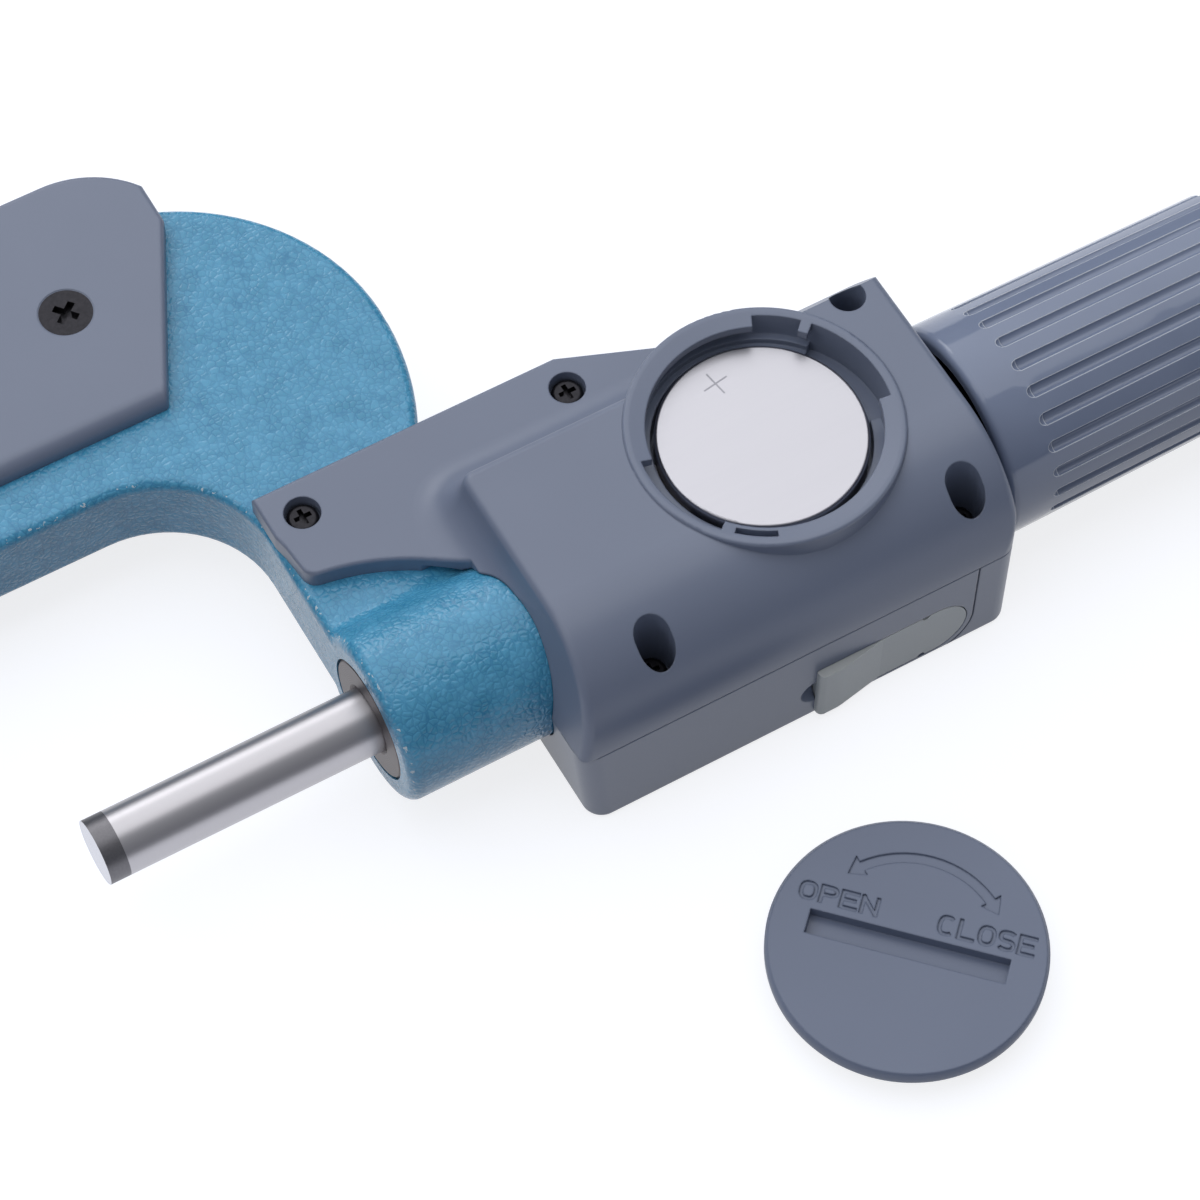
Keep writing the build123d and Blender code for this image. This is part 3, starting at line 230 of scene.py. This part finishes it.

# Inner sleeve, adjusting nut, outer sleeve and thimble core
# Bored and threaded steel inside. The tubes are aluminium alloy: the outer sleeve near black in colour,
# which shows as the dark gap between the housing and the thimble, and the core natural anodised.


def anodised_aluminium(name, colour):
    """Aluminium alloy, turned, etched and anodised."""
    etch_grain = 0.15 * mm
    material, principled = new_material(name, colour, Metallic=1.0, Roughness=0.36)
    place = node(material, "TexCoord").outputs["Object"]
    etch = node(material, "TexNoise", {"Scale": 1 / etch_grain, "Detail": 2.0}, Vector=place)
    shine = node(material, "MapRange", {"To Min": 0.3, "To Max": 0.44}, Value=etch.outputs["Fac"])
    feed(material, principled, Roughness=shine.outputs[0])
    return material


give(steel, "inner_sleeve", "adjusting_nut", "ratchet_seat", "ratchet_pawl")
give(anodised_aluminium("near_black_sleeve_aluminium", "#1B1C20"), "outer_sleeve")
give(anodised_aluminium("natural_anodised_aluminium", "#8F9196"), "thimble_core")

# Covers, grip plates and battery cap
# Injection moulded ABS in a blue grey, from spark-eroded tools, so it has a soft sheen and hardly any grain.
# The edges are softened by the tool; the covers are held by screws.


def moulded_abs(name, low, high):
    """Blue-grey ABS with a fine spark-eroded grain, its moulded edges a quarter of a millimetre round."""
    flow_width = 14 * mm
    grain_width = 0.16 * mm
    grain_height = 0.01 * mm
    edge_round = 0.25 * mm
    material, principled = new_material(name, low, Roughness=0.35, IOR=1.53)
    place = node(material, "TexCoord").outputs["Object"]
    flow = node(material, "TexNoise", {"Scale": 1 / flow_width, "Detail": 2.0}, Vector=place)
    tone = node(material, "Mix", {"data_type": "RGBA", 6: linear(low), 7: linear(high)},
                _0=flow.outputs["Fac"])
    grain = node(material, "TexNoise", {"Scale": 1 / grain_width, "Detail": 1.0}, Vector=place)
    shine = node(material, "MapRange", {"To Min": 0.3, "To Max": 0.4}, Value=grain.outputs["Fac"])
    soft_edge = node(material, "Bevel", {"samples": 4, "Radius": edge_round})
    bump = node(material, "Bump", {"Strength": 0.08, "Distance": grain_height}, Height=grain.outputs["Fac"],
                Normal=soft_edge.outputs[0])
    feed(material, principled, Base_Color=tone.outputs[2], Roughness=shine.outputs[0], Normal=bump.outputs[0])
    return material


covers_abs = moulded_abs("moulded_grey_abs", "#6F788D", "#757E93")
cap_abs = moulded_abs("moulded_cap_abs", "#667087", "#6C768D")
give(covers_abs, "rear_housing", "front_housing", "rear_grip_plate", "front_grip_plate")
give(cap_abs, "battery_cap")

# Screws
# Steel screws with a cross recess, which hold the grip plates, the flange and the covers, and a slotted one
# in the ratchet. They are blackened in hot salts and oiled, so they are near black with a dull sheen.


def blackened_steel():
    """Steel with a brownish black oxide skin."""
    skin_grain = 0.3 * mm
    material, principled = new_material("black_oxide_steel", "#2A2A2E", Metallic=0.8, Roughness=0.34)
    place = node(material, "TexCoord").outputs["Object"]
    skin = node(material, "TexNoise", {"Scale": 1 / skin_grain, "Detail": 3.0}, Vector=place)
    tone = node(material, "Mix", {"data_type": "RGBA", 6: linear("#1E1E22"), 7: linear("#38373C")},
                _0=skin.outputs["Fac"])
    shine = node(material, "MapRange", {"To Min": 0.26, "To Max": 0.42}, Value=skin.outputs["Fac"])
    feed(material, principled, Base_Color=tone.outputs[2], Roughness=shine.outputs[0])
    return material


give(blackened_steel(), "grip_plate_screws", "flange_screws", "housing_screws", "ratchet_screw")

# Battery cell and contacts
# A coin cell in a pressed can of nickel-plated stainless steel with a straight brushed face,
# its positive side up. The contacts are springy nickel-plated bronze, coloured dark grey.


def brushed_nickel(name, colour, low, high):
    """Nickel plate over brushed metal, the strokes about a tenth of a millimetre apart."""
    stroke_pitch = 0.1 * mm
    stroke_height = 0.005 * mm
    along = math.radians(-8.8)
    material, principled = new_material(name, colour, Metallic=1.0, Roughness=0.3)
    place = node(material, "TexCoord").outputs["Object"]
    stretched = {"Rotation": (0.0, 0.0, along), "Scale": (30.0, 1 / stroke_pitch, 200.0)}
    strokes = node(material, "Mapping", stretched, Vector=place)
    brush = node(material, "TexNoise", {"Scale": 1.0, "Detail": 3.0}, Vector=strokes.outputs[0])
    shine = node(material, "MapRange", {"To Min": low, "To Max": high}, Value=brush.outputs["Fac"])
    bump = node(material, "Bump", {"Strength": 0.1, "Distance": stroke_height}, Height=brush.outputs["Fac"])
    feed(material, principled, Roughness=shine.outputs[0], Normal=bump.outputs[0])
    return material


def prism(name, outline, bottom, top):
    """The mesh of an outline in plan, as a solid between two heights."""
    shape = bmesh.new()
    low = [shape.verts.new((x, y, bottom)) for x, y in outline]
    high = [shape.verts.new((x, y, top)) for x, y in outline]
    shape.faces.new(low[::-1])
    shape.faces.new(high)
    for i in range(len(low)):
        following = (i + 1) % len(low)
        shape.faces.new((low[i], low[following], high[following], high[i]))
    mesh = bpy.data.meshes.new(name)
    shape.to_mesh(mesh)
    shape.free()
    return mesh


def plus_sign(name, centre, turn, reach, stroke, bottom, top):
    """The marked plus, a flat cross with equal arms."""
    half = stroke / 2
    quarter = [(half, half), (half, reach), (-half, reach), (-half, half)]
    outline = []
    for step in range(4):
        turned = Matrix.Rotation(turn + step * math.pi / 2, 2)
        outline += [Vector(centre) + turned @ Vector(point) for point in quarter[:3]]
    piece = bpy.data.objects.new(name, prism(name, outline, bottom, top))
    bpy.context.scene.collection.objects.link(piece)
    return piece


give(brushed_nickel("brushed_nickel_on_steel", "#BCBBC1", 0.28, 0.42), "battery_cell")
give(brushed_nickel("nickel_plated_bronze", "#5C5B60", 0.3, 0.45), "battery_floor_contact",
     "battery_side_contact")
cell_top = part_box("battery_cell")[1].z
etched, _ = new_material("etched_steel", "#A9A9B0", Metallic=0.6, Roughness=0.55)
cell_mark = plus_sign("cell_plus", centre=(95.4 * mm, 10.68 * mm), turn=math.radians(8.8), reach=1.35 * mm,
                      stroke=0.16 * mm, bottom=cell_top - 0.02 * mm, top=cell_top + 0.006 * mm)
cell_mark.data.materials.append(etched)
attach(cell_mark, "root")

# Circuit board, connector, encoder and display
# A glass-epoxy board under green solder mask, black glass-filled nylon parts, and a liquid crystal
# panel behind a clear acrylic window.


def speckled(name, dark, light, size, **shader):
    """A moulded or coated surface with a faint speckle of the given size."""
    speckle_height = 0.01 * mm
    material, principled = new_material(name, dark, **shader)
    place = node(material, "TexCoord").outputs["Object"]
    speckle = node(material, "TexNoise", {"Scale": 1 / size, "Detail": 2.0}, Vector=place)
    tone = node(material, "Mix", {"data_type": "RGBA", 6: linear(dark), 7: linear(light)},
                _0=speckle.outputs["Fac"])
    bump = node(material, "Bump", {"Strength": 0.1, "Distance": speckle_height},
                Height=speckle.outputs["Fac"])
    feed(material, principled, Base_Color=tone.outputs[2], Normal=bump.outputs[0])
    return material


def clear_acrylic():
    """Clear cast acrylic, polished. Its alpha makes it see-through, so that light reaches the panel."""
    wipe_width = 2 * mm
    clear = {"Roughness": 0.04, "IOR": 1.49, "Alpha": 0.2}
    material, principled = new_material("clear_acrylic", "#E6ECEA", **clear)
    place = node(material, "TexCoord").outputs["Object"]
    wipe = node(material, "TexNoise", {"Scale": 1 / wipe_width, "Detail": 2.0}, Vector=place)
    shine = node(material, "MapRange", {"To Min": 0.02, "To Max": 0.07}, Value=wipe.outputs["Fac"])
    feed(material, principled, Roughness=shine.outputs[0])
    return material


give(speckled("green_solder_mask", "#0E4A2A", "#17603A", 0.5 * mm, Roughness=0.35, IOR=1.5), "circuit_board")
give(speckled("glass_filled_nylon", "#17181A", "#232528", 0.2 * mm, Roughness=0.5, IOR=1.53),
     "port_connector", "encoder_stator", "encoder_rotor")
give(speckled("liquid_crystal_panel", "#98A294", "#A1AA9C", 0.4 * mm, Roughness=0.2, IOR=1.5),
     "display_panel")
give(clear_acrylic(), "display_window")

# Buttons
# Three round keys in the display face, moulded in a paler ABS than the covers.
# They slide in holes of the front cover.

buttons = [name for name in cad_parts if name.startswith("button_")]
give(speckled("moulded_button_abs", "#A3A8B0", "#ACB1B8", 0.2 * mm, Roughness=0.45, IOR=1.53), *buttons)

# Port plug and cap seal
# Moulded rubber: a grey plug, pressed into the port in the side of the front cover,
# and a black ring that sits in the groove of the cap.

give(speckled("moulded_grey_rubber", "#C6CAC9", "#CDD0CE", 0.25 * mm, Roughness=0.5, IOR=1.52), "port_plug")
give(speckled("nitrile_rubber", "#141414", "#1E1E1E", 0.2 * mm, Roughness=0.55, IOR=1.52), "battery_cap_seal")

# Thimble and ratchet knob
# Moulded in the same grey, but from polished tools, so the flutes are glossy, and their rims carry a painted
# highlight in a pale colour.
# The ratchet's spring, inside the knob, is bright steel.


def polished_abs():
    """Blue-grey ABS from a polished tool: glossy, with faint flow marks, and a painted highlight in pale
    colour along its rims.
    """
    flow_width = 6 * mm
    flow_height = 0.02 * mm
    edge_round = 0.16 * mm
    rim_highlight_width = 0.15 * mm
    material, principled = new_material("gloss_moulded_abs", "#7A859D", Roughness=0.1, IOR=1.53)
    place = node(material, "TexCoord").outputs["Object"]
    flow = node(material, "TexNoise", {"Scale": 1 / flow_width, "Detail": 2.0}, Vector=place)
    tone = node(material, "Mix", {"data_type": "RGBA", 6: linear("#76819A"), 7: linear("#7E89A1")},
                _0=flow.outputs["Fac"])
    shine = node(material, "MapRange", {"To Min": 0.07, "To Max": 0.13}, Value=flow.outputs["Fac"])
    soft_edge = node(material, "Bevel", {"samples": 4, "Radius": edge_round})
    bump = node(material, "Bump", {"Strength": 0.1, "Distance": flow_height}, Height=flow.outputs["Fac"],
                Normal=soft_edge.outputs[0])
    flat = node(material, "NewGeometry").outputs["Normal"]
    # Painted highlight: where the bevelled normal bends away from the face, the colour is mixed to a pale
    # grey-blue.
    rim_highlight_bevel = node(material, "Bevel", {"samples": 6, "Radius": rim_highlight_width})
    bend = node(material, "VectorMath", {"operation": "DOT_PRODUCT"}, _0=rim_highlight_bevel.outputs[0], _1=flat)
    rim = node(material, "MapRange", {"From Min": 0.997, "From Max": 0.97}, Value=bend.outputs["Value"])
    painted_rim_highlight = node(material, "Mix", {"data_type": "RGBA", 7: linear("#D6DCE6")}, _0=rim.outputs[0],
                _6=tone.outputs[2])
    feed(material, principled, Base_Color=painted_rim_highlight.outputs[2], Roughness=shine.outputs[0], Normal=bump.outputs[0])
    return material


give(polished_abs(), "thimble", "ratchet_knob")
give(brushed_nickel("bright_spring_steel", "#B4B4B6", 0.2, 0.34), "ratchet_spring")

# Battery cap
# The loose cap, with its two words and its double arrow sunk 0.2 mm into the face beside the coin slot.
# The node's own mesh is copied, and the marks are cut into the copy.

cap_low, cap_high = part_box("battery_cap")
cap_turn = math.radians(-45.7)
cap_middle = Matrix.Translation(((cap_low.x + cap_high.x) / 2, (cap_low.y + cap_high.y) / 2, cap_high.z))
cap_middle = cap_middle @ Matrix.Rotation(cap_turn, 4, "Z")
mark_depth = 0.2 * mm
same_point = 0.002 * mm


def cutter(name, mesh):
    """A mesh in the cap's own axes, put in place on the cap with its loose points joined."""
    joined = bmesh.new()
    joined.from_mesh(mesh)
    bmesh.ops.remove_doubles(joined, verts=joined.verts, dist=same_point)
    bmesh.ops.recalc_face_normals(joined, faces=joined.faces)
    joined.to_mesh(mesh)
    joined.free()
    mesh.transform(cap_middle)
    made = bpy.data.objects.new(name, mesh)
    bpy.context.scene.collection.objects.link(made)
    return made


stroke = 0.36 * mm


def arc(x, y, wide, high, start, end):
    """Points along a squarish ellipse, in a letter's own box from 0 to 1. Angles are in degrees."""
    steps = 14
    squareness = 0.75
    points = []
    for i in range(steps + 1):
        angle = math.radians(start + (end - start) * i / steps)
        across, up = math.cos(angle), math.sin(angle)
        points.append((x + wide * math.copysign(abs(across) ** squareness, across),
                       y + high * math.copysign(abs(up) ** squareness, up)))
    return points


upright = [(0.0, 0.0), (0.0, 1.0)]
foot = [(0.0, 0.0), (1.0, 0.0)]
letter_lines = {
    "O": [arc(0.5, 0.5, 0.5, 0.5, 0, 360)],
    "P": [upright, [(0.0, 1.0)] + arc(0.5, 0.74, 0.5, 0.26, 90, -90) + [(0.0, 0.48)]],
    "E": [upright, foot, [(0.0, 0.52), (0.85, 0.52)], [(0.0, 1.0), (1.0, 1.0)]],
    "N": [upright, [(0.0, 1.0), (1.0, 0.0)], [(1.0, 0.0), (1.0, 1.0)]],
    "C": [arc(0.5, 0.5, 0.5, 0.5, 48, 312)],
    "L": [upright, foot],
    "S": [arc(0.5, 0.75, 0.5, 0.25, 30, 270) + arc(0.5, 0.25, 0.5, 0.25, 90, -150)[1:]],
}


def groove(name, points):
    """A flat bar of the stroke's width along the points, square at its ends and mitred at its corners."""
    line = [Vector(point) for point in points]
    closed = (line[0] - line[-1]).length < stroke / 10
    if closed:
        line = line[:-1]
    elif len(line) == 2:
        past_end = (line[1] - line[0]).normalized() * stroke / 2
        line = [line[0] - past_end, line[1] + past_end]
    count = len(line)
    shape = bmesh.new()
    rings = []
    for i, spot in enumerate(line):
        before = spot - line[i - 1] if closed or i > 0 else line[1] - line[0]
        after = line[(i + 1) % count] - spot if closed or i < count - 1 else before
        heading = (before.normalized() + after.normalized()).normalized()
        side = Vector((-heading.y, heading.x)) * stroke / 2 / heading.dot(after.normalized())
        flanks = (spot + side, spot - side)
        section = ((0, -mark_depth), (0, mark_depth), (1, mark_depth), (1, -mark_depth))
        rings.append([shape.verts.new((*flanks[flank], height)) for flank, height in section])
    for i in range(count if closed else count - 1):
        here, there = rings[i], rings[(i + 1) % count]
        for j in range(4):
            shape.faces.new((here[j], here[j - 1], there[j - 1], there[j]))
    if not closed:
        shape.faces.new(rings[0])
        shape.faces.new(rings[-1][::-1])
    mesh = bpy.data.meshes.new(name)
    shape.to_mesh(mesh)
    shape.free()
    return cutter(name, mesh)


def word(letters, left, right, low, high):
    """Sans-serif capitals that fill a rectangle beside the coin slot, as the bars that cut them."""
    space = 0.2 * mm
    width = (right - left - space * (len(letters) - 1)) / len(letters)
    bars = []
    for i, letter in enumerate(letters):
        x = left + i * (width + space) + stroke / 2
        y = low + stroke / 2
        for j, points in enumerate(letter_lines[letter]):
            placed = [(x + px * (width - stroke), y + py * (high - low - stroke)) for px, py in points]
            bars.append(groove(f"cap_{letters}_{i}_{j}", placed))
    return bars


def double_arrow(inner, outer, start, end, head_inner, head_outer, head_length):
    """An arc round the middle of the cap with an arrow head at both ends. Angles are in degrees."""
    def at(radius, angle):
        """The point at that radius and angle."""
        return radius * math.cos(math.radians(angle)), radius * math.sin(math.radians(angle))

    steps = 16
    sweep = [start + (end - start) * i / steps for i in range(steps + 1)]
    middle = (inner + outer) / 2
    outline = [at(outer, angle) for angle in sweep]
    outline += [at(head_outer, end), at(middle, end - head_length), at(head_inner, end)]
    outline += [at(inner, angle) for angle in sweep[::-1]]
    outline += [at(head_inner, start), at(middle, start + head_length), at(head_outer, start)]
    return cutter("cap_arrow", prism("double_arrow", outline, -mark_depth, mark_depth))


marks = [
    *word("OPEN", left=-10.87 * mm, right=-3.4 * mm, low=2.05 * mm, high=4.0 * mm),
    *word("CLOSE", left=2.12 * mm, right=11.25 * mm, low=1.95 * mm, high=4.05 * mm),
    double_arrow(inner=8.5 * mm, outer=9.5 * mm, start=131.0, end=46.5, head_inner=7.95 * mm,
                 head_outer=10.15 * mm, head_length=10.0),
]
cap_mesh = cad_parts["battery_cap"].data.copy()
joined_cap = bmesh.new()
joined_cap.from_mesh(cap_mesh)
bmesh.ops.remove_doubles(joined_cap, verts=joined_cap.verts, dist=same_point)
joined_cap.to_mesh(cap_mesh)
joined_cap.free()
marked_cap = bpy.data.objects.new("battery_cap_marked", cap_mesh)
bpy.context.scene.collection.objects.link(marked_cap)
for mark in marks:
    cut = marked_cap.modifiers.new(mark.name, "BOOLEAN")
    cut.operation = "DIFFERENCE"
    cut.solver = "EXACT"
    cut.object = mark
bpy.context.view_layer.update()
cut_mesh = bpy.data.meshes.new_from_object(marked_cap.evaluated_get(bpy.context.evaluated_depsgraph_get()))
marked_cap.modifiers.clear()
marked_cap.data = cut_mesh
for mark in marks:
    bpy.data.objects.remove(mark)
cut_mesh.materials.clear()
cut_mesh.materials.append(cap_abs)
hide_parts("battery_cap")
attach(marked_cap, "root")

# Floor, light and camera
# The floor shows the camera and mirrors plain white, and keeps a faint shadow.
# One large soft box hangs overhead, a little behind. Two small ones, on the left and low behind,
# draw the moulded edges and the rims of the flutes.
# The room is pale overhead and darker at the horizon.

floor_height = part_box("front_housing")[0].z
floor_mesh = bpy.data.meshes.new("floor")
floor_reach = 2.0
corners = [(x * floor_reach, y * floor_reach, floor_height) for x, y in ((-1, -1), (1, -1), (1, 1), (-1, 1))]
floor_mesh.from_pydata(corners, [], [(0, 1, 2, 3)])
floor = bpy.data.objects.new("floor", floor_mesh)
bpy.context.scene.collection.objects.link(floor)


def white_floor():
    """A matt table, blue-grey to the light that falls on it, plain white to the camera and in mirrors."""
    material, principled = new_material("white_table", "#949AA8", Roughness=0.9)
    rays = node(material, "LightPath").outputs
    either = {"operation": "MAXIMUM"}
    seen = node(material, "Math", either, _0=rays["Is Camera Ray"], _1=rays["Is Glossy Ray"])
    through = node(material, "Math", either, _0=seen.outputs[0], _1=rays["Is Transmission Ray"])
    glow = node(material, "Math", {"operation": "MULTIPLY", 1: 0.8}, _0=through.outputs[0])
    feed(material, principled, Emission_Strength=glow.outputs[0])
    principled.inputs["Emission Color"].default_value = (1.0, 1.0, 1.0, 1.0)
    return material


floor_mesh.materials.append(white_floor())


def soft_box(name, place, target, width, power):
    """A square area lamp of that width in metres and power in watts, turned to the target."""
    light = bpy.data.lights.new(name, "AREA")
    light.shape = "SQUARE"
    light.size = width
    light.energy = power
    lamp = bpy.data.objects.new(name, light)
    lamp.location = place
    lamp.rotation_euler = (Vector(target) - Vector(place)).to_track_quat("-Z", "Y").to_euler()
    bpy.context.scene.collection.objects.link(lamp)


middle = (0.07, 0.0, 0.0)
soft_box("key", (0.05, 0.36, 0.78), middle, width=1.3, power=6.2)
soft_box("edge", (-0.55, 0.05, 0.45), middle, width=0.25, power=0.4)
soft_box("rim", (0.1, 0.62, 0.36), middle, width=0.3, power=0.5)


def pale_room():
    """A room that is pale overhead and darker towards the horizon."""
    world = bpy.data.worlds.new("pale_room")
    world.use_nodes = True
    towards = node(world, "TexCoord").outputs["Generated"]
    upwards = node(world, "SeparateXYZ", Vector=towards).outputs["Z"]
    rise = node(world, "MapRange", {"From Min": 0.0, "From Max": 0.8}, Value=upwards)
    sky = node(world, "Mix", {"data_type": "RGBA", 6: linear("#8A8E9A"), 7: linear("#DDE0E6")},
               _0=rise.outputs[0])
    background = world.node_tree.nodes["Background"]
    background.inputs["Strength"].default_value = 0.5
    world.node_tree.links.new(sky.outputs[2], background.inputs["Color"])
    return world


bpy.context.scene.world = pale_room()

camera_place = Vector((-27.77, -176.42, 344.97)) * mm
camera_target = Vector((77.36, 0.60, 0.0)) * mm
camera_roll = math.radians(-1.0055)
camera = bpy.data.cameras.new("camera")
camera.sensor_width = 36.0
camera.lens = 130.124
camera.clip_start = 0.01
camera_object = bpy.data.objects.new("camera", camera)
bpy.context.scene.collection.objects.link(camera_object)
aim = (camera_target - camera_place).to_track_quat("-Z", "Y").to_matrix().to_4x4()
camera_object.matrix_world = Matrix.Translation(camera_place) @ aim @ Matrix.Rotation(-camera_roll, 4, "Z")
bpy.context.scene.camera = camera_object
bpy.context.scene.view_settings.view_transform = "Standard"
